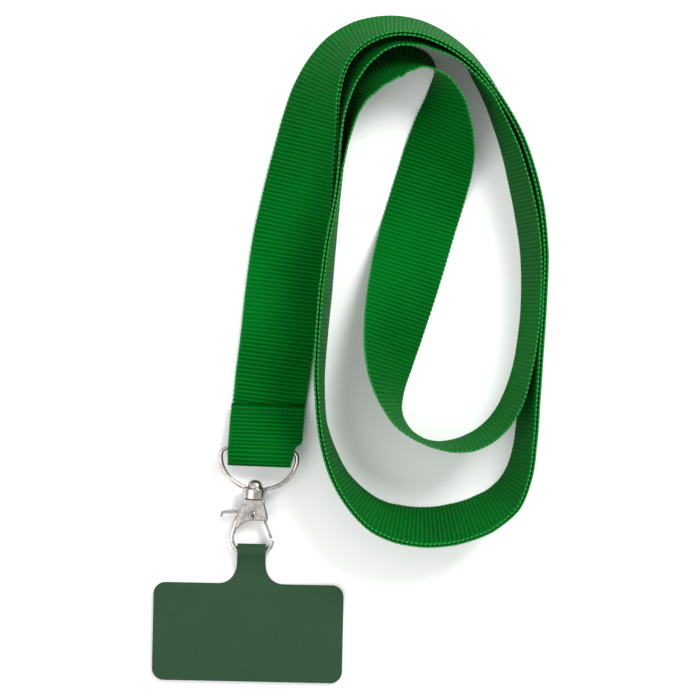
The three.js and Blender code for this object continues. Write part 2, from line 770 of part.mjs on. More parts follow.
layout.add(mesh("neck_ribbon", stripGeometry(ribbonShares()), RIBBON_GREEN));
layout.add(mesh("flap_seam_thread", seamGeometry(), THREAD_GREEN));

const hardware = new THREE.Group();
hardware.position.set(BAR_X, BAR_Y, BAR_Z);
hardware.rotation.set(rad(HARDWARE_TILT), 0, rad(-HARDWARE_LEAN), "ZYX");
hardware.add(mesh("d_ring", dRingGeometry(), SATIN_METAL));
hardware.add(mesh("swivel_rivet", rivetGeometry(), SATIN_METAL));
hardware.add(mesh("claw_body", clawGeometry(), SATIN_METAL));
hardware.add(mesh("gate_lever", gateGeometry(), SATIN_METAL));
hardware.add(mesh("gate_pivot", pivotGeometry(), SATIN_METAL));
hardware.add(mesh("gate_spring", springGeometry(), SPRING_STEEL));
layout.add(hardware);

hardware.updateMatrix();
const bend = new THREE.Vector3(SWIVEL_OFFSET, -HOOK_BEND, 0).applyMatrix4(hardware.matrix);
const patch = new THREE.Group();
patch.position.copy(bend);
patch.rotation.z = rad(-PATCH_LEAN);
const { sheet, narrow } = patchGeometry(bend.z);
patch.add(mesh("tether_patch", geometryOf(sheet.add(narrow)), PATCH_GREEN));
layout.add(patch);

export default root;
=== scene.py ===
"""Visual model of a woven neck lanyard with a swivel clasp and a tether patch."""

import json
import logging
import math
from dataclasses import dataclass, field
from enum import Enum

import bmesh
import bpy
import numpy as np
from mathutils import Matrix, Vector


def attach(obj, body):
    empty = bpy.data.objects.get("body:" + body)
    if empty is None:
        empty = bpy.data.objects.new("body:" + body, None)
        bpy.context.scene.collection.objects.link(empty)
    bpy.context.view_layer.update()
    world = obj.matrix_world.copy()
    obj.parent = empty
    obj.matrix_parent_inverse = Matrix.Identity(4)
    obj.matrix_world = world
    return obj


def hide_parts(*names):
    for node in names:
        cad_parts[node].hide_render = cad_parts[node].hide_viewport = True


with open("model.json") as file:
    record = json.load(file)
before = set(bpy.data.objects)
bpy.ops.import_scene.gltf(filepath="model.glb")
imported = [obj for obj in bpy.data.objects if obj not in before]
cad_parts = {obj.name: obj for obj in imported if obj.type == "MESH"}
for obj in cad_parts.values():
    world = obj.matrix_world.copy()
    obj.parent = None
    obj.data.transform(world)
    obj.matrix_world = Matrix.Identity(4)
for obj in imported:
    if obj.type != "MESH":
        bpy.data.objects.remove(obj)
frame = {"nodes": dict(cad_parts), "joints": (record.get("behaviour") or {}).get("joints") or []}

LOG = logging.getLogger("lanyard")
MM = 0.001
Colour = tuple[float, float, float, float]


class Body(Enum):
    """The CAD bodies that the pieces ride on."""

    RIBBON = "ribbon"
    D_RING = "d_ring"
    CLAW = "claw"
    GATE = "gate"
    PATCH = "patch"


class Slot(Enum):
    """The record's material slots."""

    RIBBON = "ribbon"
    THREAD = "thread"
    METAL = "metal"
    SPRING = "spring"
    PATCH = "patch"


# ---------------------------------------------------------------- node helpers


class Nodes:
    """Small builder that adds and wires shader or geometry nodes in one tree."""

    def __init__(self, tree: bpy.types.NodeTree) -> None:
        """Keep the tree.

        Args:
            tree: the node tree that nodes are added to.
        """
        self.tree = tree

    def add(self, kind: str, links: dict | None = None, **settings: object) -> bpy.types.Node:
        """Add a node, set its properties and fill its inputs.

        Args:
            kind: the node's type name.
            links: input name or index to a plain value or an output socket.
            **settings: properties of the node itself.

        Returns:
            The new node.
        """
        node = self.tree.nodes.new(kind)
        for name, value in settings.items():
            setattr(node, name, value)
        for key, value in (links or {}).items():
            socket = node.inputs[key]
            if isinstance(value, bpy.types.NodeSocket):
                self.tree.links.new(value, socket)
            else:
                socket.default_value = value
        return node

    def math(self, operation: str, a: object, b: object = 0.0, clamp: bool = False) -> bpy.types.NodeSocket:
        """Add a Math node.

        Args:
            operation: the node's operation.
            a: first value or socket.
            b: second value or socket.
            clamp: True to keep the result between 0 and 1.

        Returns:
            The result socket.
        """
        return self.add("ShaderNodeMath", {0: a, 1: b}, operation=operation, use_clamp=clamp).outputs[0]

    def ramp(self, value: bpy.types.NodeSocket, low: float, high: float) -> bpy.types.NodeSocket:
        """Add a 0 to 1 mask that rises from low to high.

        Args:
            value: the socket that is masked.
            low: value where the mask is 0.
            high: value where the mask is 1.

        Returns:
            The mask's socket.
        """
        node = self.add("ShaderNodeMapRange", {"Value": value, "From Min": low, "From Max": high})
        return node.outputs["Result"]

    def spread(self, value: bpy.types.NodeSocket, low: float, high: float) -> bpy.types.NodeSocket:
        """Spread the middle of a noise over a range.

        Args:
            value: the noise's socket, which varies about 0.5.
            low: result where the noise is low.
            high: result where the noise is high.

        Returns:
            The result's socket.
        """
        limits = {"From Min": 0.3, "From Max": 0.7, "To Min": low, "To Max": high}
        return self.add("ShaderNodeMapRange", {"Value": value, **limits}).outputs["Result"]

    def mix(self, share: object, a: object, b: object, blend: str = "MIX") -> bpy.types.NodeSocket:
        """Add a Mix node between two colours.

        Args:
            share: value or socket, 0 for a and 1 for b.
            a: first colour or socket.
            b: second colour or socket.
            blend: the node's blend type.

        Returns:
            The colour socket.
        """
        node = self.tree.nodes.new("ShaderNodeMix")
        node.data_type = "RGBA"
        node.blend_type = blend
        for index, value in ((0, share), (6, a), (7, b)):
            if isinstance(value, bpy.types.NodeSocket):
                self.tree.links.new(value, node.inputs[index])
            else:
                node.inputs[index].default_value = value
        return node.outputs[2]


def new_group(
    name: str, inputs: dict[str, tuple[str, object]], outputs: dict[str, str]
) -> tuple[bpy.types.NodeTree, Nodes, bpy.types.Node, bpy.types.Node]:
    """Start a shader node group.

    Args:
        name: the group's name.
        inputs: input name to its socket type and default.
        outputs: output name to its socket type.

    Returns:
        The tree, its builder, and its input and output nodes.
    """
    tree = bpy.data.node_groups.new(name, "ShaderNodeTree")
    for label, (kind, default) in inputs.items():
        socket = tree.interface.new_socket(label, in_out="INPUT", socket_type=kind)
        socket.default_value = default
    for label, kind in outputs.items():
        tree.interface.new_socket(label, in_out="OUTPUT", socket_type=kind)
    build = Nodes(tree)
    return tree, build, build.add("NodeGroupInput"), build.add("NodeGroupOutput")


def grain_group() -> bpy.types.NodeTree:
    """Build the group that gives fine speckle and soft patches on Object coordinates.

    Returns:
        A group with outputs Speckle and Patches, both 0 to 1.
    """
    if "surface_grain" in bpy.data.node_groups:
        return bpy.data.node_groups["surface_grain"]
    tree, n, inp, out = new_group(
        "surface_grain",
        {"Speckle Scale": ("NodeSocketFloat", 4000.0), "Patch Scale": ("NodeSocketFloat", 60.0)},
        {"Speckle": "NodeSocketFloat", "Patches": "NodeSocketFloat"},
    )
    place = n.add("ShaderNodeTexCoord").outputs["Object"]
    fine = n.add("ShaderNodeTexNoise", {"Vector": place, "Scale": inp.outputs["Speckle Scale"], "Detail": 3.0})
    soft = n.add("ShaderNodeTexNoise", {"Vector": place, "Scale": inp.outputs["Patch Scale"], "Detail": 2.0})
    tree.links.new(fine.outputs["Fac"], out.inputs["Speckle"])
    tree.links.new(soft.outputs["Fac"], out.inputs["Patches"])
    return tree


def weave_group() -> bpy.types.NodeTree:
    """Build the group that draws ribbed yarns on the ribbon's own UV map, in millimetres.

    Returns:
        A group with outputs Height; masks for the painted shade in the rib grooves and the painted highlight on the
        rib crests; Edge; and a mask for the painted shadow along the flap's cut end.
    """
    if "ribbed_weave" in bpy.data.node_groups:
        return bpy.data.node_groups["ribbed_weave"]
    tree, n, inp, out = new_group(
        "ribbed_weave",
        {
            "Rib Pitch": ("NodeSocketFloat", 1.44),
            "Yarn Pitch": ("NodeSocketFloat", 0.24),
            "Half Width": ("NodeSocketFloat", 12.5),
            "Selvedge": ("NodeSocketFloat", 1.1),
            "Cut End": ("NodeSocketFloat", 1494.0),
        },
        {
            "Height": "NodeSocketFloat",
            "Groove Shade": "NodeSocketFloat",
            "Crest Highlight": "NodeSocketFloat",
            "Edge": "NodeSocketFloat",
            "End Shadow": "NodeSocketFloat",
        },
    )
    uv = n.add("ShaderNodeUVMap", uv_map="strip").outputs["UV"]
    split = n.add("ShaderNodeSeparateXYZ", {0: uv})
    across, along = split.outputs[0], split.outputs[1]
    turns = n.math("DIVIDE", along, inp.outputs["Rib Pitch"])
    rib = n.math("COSINE", n.math("MULTIPLY", turns, 2.0 * math.pi))
    # Painted shade: this mask darkens the grooves between the ribs.
    groove_shade = n.ramp(rib, -0.15, -1.0)
    row = n.math("FLOOR", turns)
    shift = n.math("MULTIPLY", n.math("MODULO", row, 2.0), 0.5)
    yarn_turn = n.math("ADD", n.math("DIVIDE", across, inp.outputs["Yarn Pitch"]), shift)
    yarn = n.ramp(n.math("COSINE", n.math("MULTIPLY", yarn_turn, 2.0 * math.pi)), -1.0, 1.0)
    distance = n.math("SUBTRACT", inp.outputs["Half Width"], n.math("ABSOLUTE", across))
    inside = n.math("DIVIDE", distance, inp.outputs["Selvedge"])
    edge = n.math("SUBTRACT", 1.0, n.ramp(inside, 0.5, 1.0))
    height = n.math("ADD", n.math("MULTIPLY", yarn, 0.45), n.math("MULTIPLY", n.ramp(rib, -1.0, 1.0), 0.55))
    dots = n.math("ADD", n.math("MULTIPLY", yarn, 0.6), 0.4)
    # Painted highlight: this mask lightens the rib crests in dotted yarn rows.
    crest_highlight = n.math("MULTIPLY", n.ramp(rib, -0.1, 1.0), dots)
    # Painted shadow: this mask marks the last stretch before the cut end, which stands in for the shadow line under
    # the flap's raised edge.
    left = n.math("SUBTRACT", inp.outputs["Cut End"], along)
    end_shadow = n.math("SUBTRACT", 1.0, n.ramp(left, 0.35, 0.75))
    outs = {"Height": height, "Groove Shade": groove_shade, "Crest Highlight": crest_highlight, "Edge": edge, "End Shadow": end_shadow}
    for label, socket in outs.items():
        tree.links.new(socket, out.inputs[label])
    return tree


# ---------------------------------------------------------------- finishes


@dataclass(frozen=True)
class GrosgrainFinish:
    """Dyed polyester grosgrain with painted highlights on the rib crests, painted shade in the grooves, and a soft
    sheen.
    """

    name: str = "grosgrain_green"
    ground: Colour = (0.0004, 0.078, 0.0072, 1.0)
    # Painted highlight colour of the rib crests, also used for the satin patches and blended over the selvedge zone.
    crest_highlight: Colour = (0.0020, 0.168, 0.0165, 1.0)
    # Painted shade colour for the grooves, the dark patches and the painted shadow at the cut end.
    groove_shade: Colour = (0.0002, 0.044, 0.0040, 1.0)
    roughness: float = 0.52
    sheen: float = 0.06
    satin: float = 0.10
    cut_end: float = 1494.4
    rib_pitch: float = 1.44

    def material(self) -> bpy.types.Material:
        """Build the ribbon's material on its strip UV map.

        Returns:
            The finished material.
        """
        mat = bpy.data.materials.new(self.name)
        mat.use_nodes = True
        n = Nodes(mat.node_tree)
        shader = mat.node_tree.nodes["Principled BSDF"]
        weave = n.add("ShaderNodeGroup", node_tree=weave_group())
        grain = n.add("ShaderNodeGroup", {}, node_tree=grain_group())
        grain.inputs["Speckle Scale"].default_value = 2600.0
        grain.inputs["Patch Scale"].default_value = 26.0
        weave.inputs["Cut End"].default_value = self.cut_end
        weave.inputs["Rib Pitch"].default_value = self.rib_pitch
        fibre = n.math("ADD", n.math("MULTIPLY", n.ramp(grain.outputs["Speckle"], 0.3, 0.7), 0.45), 0.7)
        # Painted highlight on the rib crests.
        colour = n.mix(n.math("MULTIPLY", weave.outputs["Crest Highlight"], fibre, clamp=True), self.ground, self.crest_highlight)
        # Painted shade in the grooves.
        colour = n.mix(n.math("MULTIPLY", weave.outputs["Groove Shade"], 0.6), colour, self.groove_shade)
        # Painted satin highlights and painted shade in broad random patches along the strip.
        colour = n.mix(n.math("MULTIPLY", n.ramp(grain.outputs["Patches"], 0.45, 0.72), 0.34), colour, self.crest_highlight)
        colour = n.mix(n.math("MULTIPLY", n.ramp(grain.outputs["Patches"], 0.48, 0.28), 0.30), colour, self.groove_shade)
        colour = n.mix(n.math("MULTIPLY", weave.outputs["Edge"], 0.2), colour, self.crest_highlight)
        # Painted shadow along the flap's cut end.
        colour = n.mix(weave.outputs["End Shadow"], colour, self.groove_shade)
        rough = n.spread(grain.outputs["Patches"], self.roughness - 0.08, self.roughness + 0.08)
        bump = n.add("ShaderNodeBump", {"Height": weave.outputs["Height"], "Strength": 0.6, "Distance": 0.00012})
        mat.node_tree.links.new(colour, shader.inputs["Base Color"])
        mat.node_tree.links.new(rough, shader.inputs["Roughness"])
        mat.node_tree.links.new(bump.outputs["Normal"], shader.inputs["Normal"])
        shader.inputs["Sheen Weight"].default_value = self.sheen
        shader.inputs["Sheen Roughness"].default_value = 0.45
        shader.inputs["Sheen Tint"].default_value = (0.02, 0.42, 0.07, 1.0)
        shader.inputs["Metallic"].default_value = self.satin
        shader.inputs["Specular IOR Level"].default_value = 0.02
        shader.inputs["Specular Tint"].default_value = (0.08, 0.80, 0.16, 1.0)
        return mat


@dataclass(frozen=True)
class YarnFinish:
    """Spun thread, matte, with a twist of lighter fibre."""

    name: str
    dark: Colour
    light: Colour
    roughness: float = 0.7

    def material(self) -> bpy.types.Material:
        """Build the thread's material on Object coordinates.

        Returns:
            The finished material.
        """
        mat = bpy.data.materials.new(self.name)
        mat.use_nodes = True
        n = Nodes(mat.node_tree)
        shader = mat.node_tree.nodes["Principled BSDF"]
        place = n.add("ShaderNodeTexCoord").outputs["Object"]
        twist = n.add(
            "ShaderNodeTexWave",
            {"Vector": place, "Scale": 2400.0, "Distortion": 2.5, "Detail": 2.0},
            bands_direction="DIAGONAL",
        )
        grain = n.add("ShaderNodeGroup", node_tree=grain_group())
        grain.inputs["Speckle Scale"].default_value = 5200.0
        share = n.math("MULTIPLY", n.math("ADD", twist.outputs["Fac"], grain.outputs["Speckle"]), 0.5)
        mat.node_tree.links.new(n.mix(share, self.dark, self.light), shader.inputs["Base Color"])
        bump = n.add("ShaderNodeBump", {"Height": twist.outputs["Fac"], "Strength": 0.4, "Distance": 0.00005})
        mat.node_tree.links.new(bump.outputs["Normal"], shader.inputs["Normal"])
        shader.inputs["Roughness"].default_value = self.roughness
        shader.inputs["Sheen Weight"].default_value = 0.1
        shader.inputs["Sheen Tint"].default_value = (0.3, 0.9, 0.4, 1.0)
        shader.inputs["Specular Tint"].default_value = (0.2, 0.9, 0.3, 1.0)
        return mat


@dataclass(frozen=True)
class NickelFinish:
    """Cast zinc with a satin nickel plate."""

    name: str
    bright: Colour = (0.56, 0.525, 0.50, 1.0)
    dull: Colour = (0.35, 0.32, 0.30, 1.0)
    smooth: float = 0.2
    rough: float = 0.38
    bump: float = 0.12

    def material(self) -> bpy.types.Material:
        """Build the metal's material on Object coordinates.

        Returns:
            The finished material.
        """
        mat = bpy.data.materials.new(self.name)
        mat.use_nodes = True
        n = Nodes(mat.node_tree)
        shader = mat.node_tree.nodes["Principled BSDF"]
        grain = n.add("ShaderNodeGroup", node_tree=grain_group())
        grain.inputs["Speckle Scale"].default_value = 3200.0
        grain.inputs["Patch Scale"].default_value = 420.0
        patches = n.ramp(grain.outputs["Patches"], 0.38, 0.66)
        mat.node_tree.links.new(n.mix(patches, self.bright, self.dull), shader.inputs["Base Color"])
        rough = n.add(
            "ShaderNodeMapRange",
            {
                "Value": grain.outputs["Speckle"],
                "From Min": 0.3,
                "From Max": 0.7,
                "To Min": self.smooth,
                "To Max": self.rough,
            },
        ).outputs["Result"]
        mat.node_tree.links.new(rough, shader.inputs["Roughness"])
        height = n.math("ADD", grain.outputs["Speckle"], n.math("MULTIPLY", grain.outputs["Patches"], 2.0))
        bump = n.add("ShaderNodeBump", {"Height": height, "Strength": self.bump, "Distance": 0.00008})
        mat.node_tree.links.new(bump.outputs["Normal"], shader.inputs["Normal"])
        shader.inputs["Metallic"].default_value = 1.0
        return mat


@dataclass(frozen=True)
class PatchFinish:
    """Matte coated sheet with a fine leather-like grain."""

    name: str = "patch_matte_green"
    base: Colour = (0.0150, 0.0415, 0.0195, 1.0)
    pale: Colour = (0.0215, 0.054, 0.0265, 1.0)
    roughness: float = 0.68

    def material(self) -> bpy.types.Material:
        """Build the patch's material on Object coordinates.

        Returns:
            The finished material.
        """
        mat = bpy.data.materials.new(self.name)
        mat.use_nodes = True
        n = Nodes(mat.node_tree)
        shader = mat.node_tree.nodes["Principled BSDF"]
        place = n.add("ShaderNodeTexCoord").outputs["Object"]
        grain = n.add("ShaderNodeGroup", node_tree=grain_group())
        grain.inputs["Speckle Scale"].default_value = 3600.0
        grain.inputs["Patch Scale"].default_value = 70.0
        cells = n.add("ShaderNodeTexVoronoi", {"Vector": place, "Scale": 2200.0}, feature="SMOOTH_F1")
        pebbles = cells.outputs["Distance"]
        share = n.math("MULTIPLY", n.math("ADD", n.ramp(pebbles, 0.1, 0.7), grain.outputs["Patches"]), 0.5)
        mat.node_tree.links.new(n.mix(share, self.base, self.pale), shader.inputs["Base Color"])
        rough = n.spread(grain.outputs["Speckle"], self.roughness - 0.07, self.roughness + 0.07)
        mat.node_tree.links.new(rough, shader.inputs["Roughness"])
        height = n.math("ADD", pebbles, n.math("MULTIPLY", grain.outputs["Speckle"], 0.6))
        bump = n.add("ShaderNodeBump", {"Height": height, "Strength": 0.25, "Distance": 0.00006})
        mat.node_tree.links.new(bump.outputs["Normal"], shader.inputs["Normal"])
        shader.inputs["Specular IOR Level"].default_value = 0.22
        shader.inputs["Specular Tint"].default_value = (0.6, 0.95, 0.65, 1.0)
        return mat


# ---------------------------------------------------------------- mesh helpers


def mesh_object(name: str, verts: np.ndarray, faces: list[tuple[int, ...]], smooth: bool = True) -> bpy.types.Object:
    """Make a mesh object at the origin.

    Args:
        name: the object's name.
        verts: vertex places in metres.
        faces: vertex indices of each face.
        smooth: whether faces are shaded smooth.

    Returns:
        The linked object.
    """
    mesh = bpy.data.meshes.new(name)
    mesh.from_pydata(verts.tolist(), [], faces)
    mesh.update()
    mesh.polygons.foreach_set("use_smooth", [smooth] * len(mesh.polygons))
    obj = bpy.data.objects.new(name, mesh)
    bpy.context.collection.objects.link(obj)
    return obj


def baked(obj: bpy.types.Object) -> bpy.types.Object:
    """Turn an object's modifiers into its plain mesh.

    Args:
        obj: the object with modifiers.

    Returns:
        The same object, with the evaluated mesh and no modifiers.
    """
    graph = bpy.context.evaluated_depsgraph_get()
    made = bpy.data.meshes.new_from_object(obj.evaluated_get(graph))
    obj.modifiers.clear()
    old = obj.data
    obj.data = made
    if old.users == 0:
        bpy.data.meshes.remove(old)
    return obj


def cast_copy(name: str, node: str, voxel_mm: float, passes: int) -> bpy.types.Object:
    """Copy a CAD node as a softly rounded casting.

    Args:
        name: the new piece's name.
        node: the CAD node that gives the shape.
        voxel_mm: the size of the remeshing voxels.
        passes: smoothing passes after it.

    Returns:
        The rounded piece, which replaces the node.
    """
    source = frame["nodes"][node].data
    mesh = source.copy()
    mesh.materials.clear()
    bm = bmesh.new()
    bm.from_mesh(mesh)
    bmesh.ops.remove_doubles(bm, verts=bm.verts, dist=1e-6)
    bmesh.ops.scale(bm, vec=(1.0 / MM,) * 3, verts=bm.verts)
    bm.to_mesh(mesh)
    bm.free()
    obj = bpy.data.objects.new(name, mesh)
    bpy.context.collection.objects.link(obj)
    remesh = obj.modifiers.new("remesh", "REMESH")
    remesh.mode = "VOXEL"
    remesh.voxel_size = voxel_mm
    smooth = obj.modifiers.new("smooth", "SMOOTH")
    smooth.factor = 0.5
    smooth.iterations = passes
    baked(obj)
    obj.data.transform(Matrix.Scale(MM, 4))
    obj.data.polygons.foreach_set("use_smooth", [True] * len(obj.data.polygons))
    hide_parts(node)
    return obj


def dress(obj: bpy.types.Object, material: bpy.types.Material, body: Body) -> bpy.types.Object:
    """Give a piece its material and body.

    Args:
        obj: the piece.
        material: its finish.
        body: the CAD body it rides on.

    Returns:
        The same piece.
    """
    obj.data.materials.clear()
    obj.data.materials.append(material)
    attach(obj, body.value)
    LOG.info("%s: %d faces on %s", obj.name, len(obj.data.polygons), body.value)
    return obj


# ---------------------------------------------------------------- ribbon


@dataclass
class Station:
    """One chosen place on the strip: centre, width direction, width, and 1 where the ribs may lie askew."""

    at: Vector
    across: Vector
    width: float
    skew: float = 0.0


@dataclass
class RibbonRoute:
    """The strip's route, in millimetres, as a smooth line through its stations.

    A lap's rows are x, y and lean: 0 lies face up, 90 stands on its lower edge, 180 lies face down.
    """

    width: float = 25.0
    thickness: float = 0.8
    layer_pitch: float = 1.1
    table_gap: float = 0.25
    flap_width: float = 24.4
    fold_width: float = 22.6
    fold_lean: float = 2.3
    shift: tuple[float, float, float] = (0.07, -0.27, 0.0)
    samples: int = 48
    outer_lap: tuple[tuple[float, float, float], ...] = (
        (-27.6, -18.5, 0),
        (-26.4, -8.5, 0),
        (-24.8, 4.0, 0),
        (-23.2, 19.0, 0),
        (-21.0, 35.5, 6),
        (-18.3, 50.5, 19),
        (-16.1, 64.0, 32),
        (-13.9, 76.5, 41),
        (-11.6, 88.0, 52),
        (-8.0, 97.0, 60),
        (-3.6, 103.2, 65),
        (3.4, 108.2, 70),
        (13.5, 110.9, 75),
        (23.0, 110.2, 78),
        (32.6, 106.2, 81),
        (41.0, 100.0, 84),
        (47.4, 92.6, 87),
        (53.2, 83.2, 90),
        (58.1, 72.8, 93),
        (61.4, 60.8, 97),
        (63.4, 48.4, 101),
        (64.2, 32.5, 104),
        (63.6, 15.5, 104),
        (62.7, -0.8, 103),
        (61.6, -17.0, 103),
        (60.2, -32.5, 104),
        (58.0, -42.5, 108),
        (53.6, -50.6, 115),
        (45.6, -56.4, 119),
        (35.2, -59.9, 120),
        (25.6, -60.9, 119),
        (16.0, -59.7, 117),
        (9.0, -57.1, 113),
        (2.4, -51.8, 107),
        (-3.9, -43.6, 101),
        (-8.1, -33.4, 97),
        (-10.1, -25.0, 94),
        (-10.8, -16.5, 94),
        (-11.0, -8.0, 95),
        (-10.3, 4.0, 96),
        (-8.9, 20.0, 97),
        (-7.1, 36.5, 95),
        (-4.9, 52.0, 91),
    )
    middle_lap: tuple[tuple[float, float, float], ...] = (
        (-4.0, 61.0, 90),
        (-3.3, 70.5, 90),
        (-2.8, 78.5, 87),
        (-2.1, 86.0, 80),
        (0.4, 94.4, 74),
        (6.0, 102.2, 71),
        (13.6, 106.8, 71),
        (22.4, 107.0, 73),
        (29.3, 104.5, 77),
        (36.8, 100.0, 83),
        (42.2, 93.4, 92),
        (47.0, 86.4, 97),
        (51.2, 77.2, 100),
        (54.8, 67.6, 103),
        (57.6, 57.2, 105),
        (60.0, 46.0, 106),
        (61.7, 32.0, 105),
        (61.6, 15.0, 104),
        (60.5, 3.5, 104),
        (58.6, -7.0, 104),
        (55.4, -17.2, 106),
        (51.6, -23.8, 106),
        (46.4, -28.8, 105),
        (41.0, -31.6, 103),
        (35.4, -32.7, 99),
        (30.2, -32.5, 95),
        (25.4, -31.2, 93),
        (20.8, -28.6, 94),
        (17.0, -24.8, 98),
        (14.6, -20.2, 103),
        (13.2, -14.8, 112),
        (12.7, -8.8, 122),
        (13.2, -2.0, 133),
        (14.8, 7.5, 145),
        (17.2, 18.5, 157),
        (20.2, 30.5, 170),
        (23.4, 42.0, 180),
        (26.8, 53.0, 181),
        (29.6, 62.5, 190),
        (31.8, 71.5, 208),
        (32.9, 79.3, 226),
        (32.9, 86.0, 241),
        (31.4, 91.6, 256),
        (28.6, 95.6, 272),
        (24.2, 98.2, 287),
        (18.0, 98.6, 296),
        (10.4, 95.4, 296),
        (4.2, 89.2, 292),
        (0.7, 80.5, 280),
        (-1.4, 70.5, 274),
        (-2.6, 61.0, 270),
    )
    folded_end: tuple[tuple[float, float, float, float], ...] = (
        (-27.8, -18.5, 0.62, 24.4),
        (-28.7, -24.0, 1.15, 24.4),
        (-29.8, -30.0, 2.15, 23.5),
        (-30.5, -35.5, 3.5, 22.6),
        (-30.85, -38.4, 4.55, 21.7),
        (-31.0, -39.4, 5.9, 21.7),
        (-30.9, -38.3, 7.35, 21.7),
        (-30.5, -35.2, 8.05, 22.6),
        (-30.2, -33.1, 7.85, 22.6),
        (-28.95, -31.3, 7.3, 24.8),
        (-28.5, -26.0, 4.95, 25.0),
        (-28.15, -22.0, 3.35, 25.0),
        (-27.9, -18.6, 2.85, 25.0),
    )
    inner_end: tuple[float, float, float] = (-28.9, -26.5, 2.75)

    def __post_init__(self) -> None:
        """Sample the whole route once."""
        self.stations = self._stations()
        self._sample()

    def _placed(self, rows: tuple[tuple[float, float, float], ...], over: bool) -> list[tuple[Vector, Vector, Vector]]:
        """Stand plan stations on the table.

        Args:
            rows: x, y and lean of each station.
            over: whether another strand lies beneath wherever this one faces up.

        Returns:
            Centre, width direction and face direction of each station.
        """
        plan = [Vector((x, y, 0.0)) for x, y, _ in rows]
        found = []
        for i, (x, y, lean) in enumerate(rows):
            before = plan[i] - plan[max(0, i - 1)]
            after = plan[min(len(plan) - 1, i + 1)] - plan[i]
            if i == 0:
                run = after.normalized()
            elif i == len(plan) - 1:
                run = before.normalized()
            else:
                run = (before.normalized() + after.normalized()).normalized()
            c, s = math.cos(math.radians(lean)), math.sin(math.radians(lean))
            across = Vector((run.y * c, -run.x * c, s))
            face = across.cross(run)
            z = self.width / 2 * abs(s) + self.thickness / 2 * abs(c) + self.table_gap
            if over:
                z += self.layer_pitch * max(0.0, c)
            found.append((Vector((x, y, z)), across, face))
        return found

    def _stations(self) -> list[Station]:
        """List every station from the sewn inner end to the flap's cut end."""
        outer = self._placed(self.outer_lap, True)
        middle = self._placed(self.middle_lap, False)
        found = [Station(Vector(self.inner_end), Vector((1.0, 0.0, 0.0)), self.fold_width)]
        for i, (at, across, _) in enumerate(outer):
            found.append(Station(at, across, self.flap_width if i == 0 else self.width))
        found += [Station(at, across, self.width) for at, across, _ in middle]
        for i in range(len(outer) - 1, 0, -1):
            at, across, face = outer[i]
            found.append(Station(at - face * self.layer_pitch, -across, self.width))
        lean = math.radians(self.fold_lean)
        tuck = Vector((-math.cos(lean), math.sin(lean), 0.0))
        found += [Station(Vector((x, y, z)), tuck.copy(), width, 1.0) for x, y, z, width in self.folded_end]
        return found

    def _sample(self) -> None:
        """Run a centripetal Catmull-Rom line through the stations and measure it."""
        pts = [s.at for s in self.stations]
        first = pts[0] * 2 - pts[1]
        last = pts[-1] * 2 - pts[-2]
        chain = [first, *pts, last]
        places, fractions = [], []
        for k in range(len(pts) - 1):
            p0, p1, p2, p3 = chain[k : k + 4]
            gaps = [max(1e-4, (b - a).length) ** 0.5 for a, b in ((p0, p1), (p1, p2), (p2, p3))]
            d0, d1, d2 = gaps
            t1 = ((p1 - p0) / d0 - (p2 - p0) / (d0 + d1) + (p2 - p1) / d1) * d1
            t2 = ((p2 - p1) / d1 - (p3 - p1) / (d1 + d2) + (p3 - p2) / d2) * d1
            for j in range(self.samples):
                t = j / self.samples
                a = 2 * t**3 - 3 * t**2 + 1
                b = t**3 - 2 * t**2 + t
                c = -2 * t**3 + 3 * t**2
                d = t**3 - t**2
                places.append(p1 * a + t1 * b + p2 * c + t2 * d)
                fractions.append(k + t)
        places.append(pts[-1].copy())
        fractions.append(float(len(pts) - 1))
        self.places = np.array([tuple(p) for p in places])
        self.fractions = np.array(fractions)
        steps = np.linalg.norm(np.diff(self.places, axis=0), axis=1)
        self.lengths = np.concatenate(([0.0], np.cumsum(steps)))
        self.total = float(self.lengths[-1])

    def frames(self, along: np.ndarray) -> tuple[np.ndarray, np.ndarray, np.ndarray, np.ndarray]:
        """Give the strip's frame at distances along it.

        Args:
            along: distances from the sewn inner end, in millimetres.

        Returns:
            Centres, unit width directions, unit face directions and widths.
        """
        at = np.stack([np.interp(along, self.lengths, self.places[:, i]) for i in range(3)], axis=1)
        h = 0.4
        ahead = np.stack([np.interp(along + h, self.lengths, self.places[:, i]) for i in range(3)], axis=1)
        behind = np.stack([np.interp(along - h, self.lengths, self.places[:, i]) for i in range(3)], axis=1)
        run = ahead - behind
        run /= np.linalg.norm(run, axis=1, keepdims=True)
        f = np.interp(along, self.lengths, self.fractions)
        k = np.minimum(len(self.stations) - 2, np.floor(f)).astype(int)
        share = (f - k)[:, None]
        table = np.array([tuple(s.across) for s in self.stations])
        widths = np.array([s.width for s in self.stations])
        across = table[k] * (1 - share) + table[k + 1] * share
        skews = np.array([s.skew for s in self.stations])
        skew = skews[k][:, None] * (1 - share) + skews[k + 1][:, None] * share
        across -= (1 - skew) * run * np.sum(across * run, axis=1, keepdims=True)
        across /= np.linalg.norm(across, axis=1, keepdims=True)
        face = np.cross(across, run)
        face /= np.linalg.norm(face, axis=1, keepdims=True)
        width = widths[k] * (1 - share[:, 0]) + widths[k + 1] * share[:, 0]
        return at + np.array(self.shift), across, face, width


